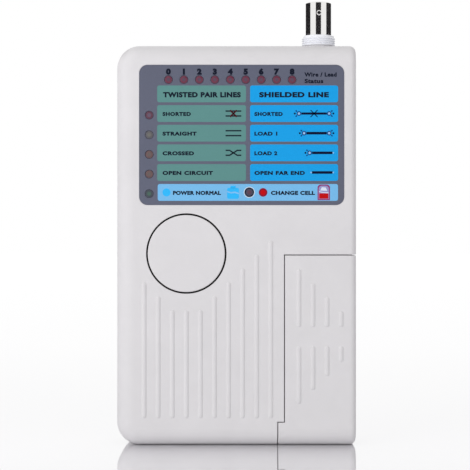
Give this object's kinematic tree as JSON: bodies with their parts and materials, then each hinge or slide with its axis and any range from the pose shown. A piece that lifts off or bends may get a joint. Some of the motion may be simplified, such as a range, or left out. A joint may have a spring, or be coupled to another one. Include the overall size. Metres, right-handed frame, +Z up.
{
  "type": "network cable tester",
  "caption": "Handheld cable tester: light grey case with lamp panel, round test button, coax jack on top, side ports, battery door and a slide-out remote unit.",
  "frame": {"origin": "middle of the bottom face, on the surface that the tester stands on", "axes": "+X to the right seen from the front, -Y out of the front panel, +Z up towards the coaxial jack"},
  "size_m": [0.09, 0.032, 0.168],
  "materials": {
    "case_plastic": "light grey moulded ABS, fine spark texture",
    "overlay_film": "printed polycarbonate film",
    "button_plastic": "light grey moulded ABS, smooth",
    "red_lens": "tinted epoxy lamp",
    "green_lens": "tinted epoxy lamp",
    "amber_lens": "tinted epoxy lamp",
    "nickel": "bright nickel plating",
    "white_nylon": "moulded white nylon",
    "dielectric": "turned fluoropolymer",
    "gold_plate": "thin gold plating",
    "tin_plate": "tin-plated sheet steel",
    "jack_black": "moulded black thermoplastic",
    "port_white": "moulded white thermoplastic",
    "screw_steel": "zinc-plated steel",
    "board_laminate": "glass-epoxy laminate, green solder mask",
    "chip_black": "moulded epoxy",
    "resistor_body": "lacquered ceramic",
    "capacitor_sleeve": "shrunk film sleeve",
    "crystal_can": "drawn steel can",
    "buzzer_black": "moulded black thermoplastic",
    "cell_jacket": "printed metal jacket",
    "snap_black": "soft black vinyl",
    "lead_red": "vinyl insulation",
    "lead_black": "vinyl insulation"
  },
  "bodies": {
    "main_unit": {"front_cover": "case_plastic", "rear_cover": "case_plastic", "label_overlay": "overlay_film", "case_screws": "screw_steel", "main_board_screws": "screw_steel", "test_switch_body": "chip_black", "sound_switch_body": "tin_plate", "wire_lamps": "red_lens", "short_lamp": "red_lens", "connected_lamp": "green_lens", "wiring_fault_lamps": "amber_lens", "power_lamp": "green_lens", "battery_lamp": "red_lens", "lamp_leads": "tin_plate", "coax_body": "white_nylon", "coax_barrel": "nickel", "coax_insulator": "dielectric", "coax_centre_contact": "gold_plate", "main_bus_port_shell": "tin_plate", "main_bus_port_tongue": "port_white", "main_bus_port_contacts": "gold_plate", "main_board": "board_laminate", "board_chips": "chip_black", "board_resistors": "resistor_body", "board_capacitors": "capacitor_sleeve", "board_crystal": "crystal_can", "buzzer": "buzzer_black", "battery_case": "cell_jacket", "battery_terminals": "tin_plate", "battery_snap": "snap_black", "battery_lead_red": "lead_red", "battery_lead_black": "lead_black", "main_data_jack_housing": "jack_black", "main_data_jack_contacts": "gold_plate", "main_data_jack_shield": "tin_plate", "main_phone_jack_housing": "jack_black", "main_phone_jack_contacts": "gold_plate"},
    "remote_unit": {"remote_front_cover": "case_plastic", "remote_rear_cover": "case_plastic", "remote_case_screws": "screw_steel", "remote_board_screws": "screw_steel", "remote_bus_port_shell": "tin_plate", "remote_bus_port_tongue": "port_white", "remote_bus_port_contacts": "gold_plate", "remote_board": "board_laminate", "remote_diodes": "chip_black", "remote_data_jack_housing": "jack_black", "remote_data_jack_contacts": "gold_plate", "remote_data_jack_shield": "tin_plate", "remote_phone_jack_housing": "jack_black", "remote_phone_jack_contacts": "gold_plate"},
    "button": {"test_button": "button_plastic", "test_switch_plunger": "chip_black"},
    "sound_knob": {"sound_switch_knob": "chip_black"},
    "door": {"battery_door": "case_plastic"}
  },
  "joints": [
    {"name": "remote_slide", "type": "slide", "parent": "main_unit", "child": "remote_unit", "axis": [1, 0, 0], "range_m": [0, 0.035]},
    {"name": "test_button_press", "type": "slide", "parent": "main_unit", "child": "button", "axis": [0, 1, 0], "range_m": [0, 0.0006], "stiffness_N_per_m": 400, "springref_m": -0.003},
    {"name": "sound_switch_slide", "type": "slide", "parent": "main_unit", "child": "sound_knob", "axis": [0, 0, 1], "range_m": [0, 0.002]},
    {"name": "battery_door_hinge", "type": "hinge", "parent": "main_unit", "child": "door", "pos_m": [-0.0255, 0.0142, 0.011], "axis": [-1, 0, 0], "range_deg": [0, 80]}
  ]
}
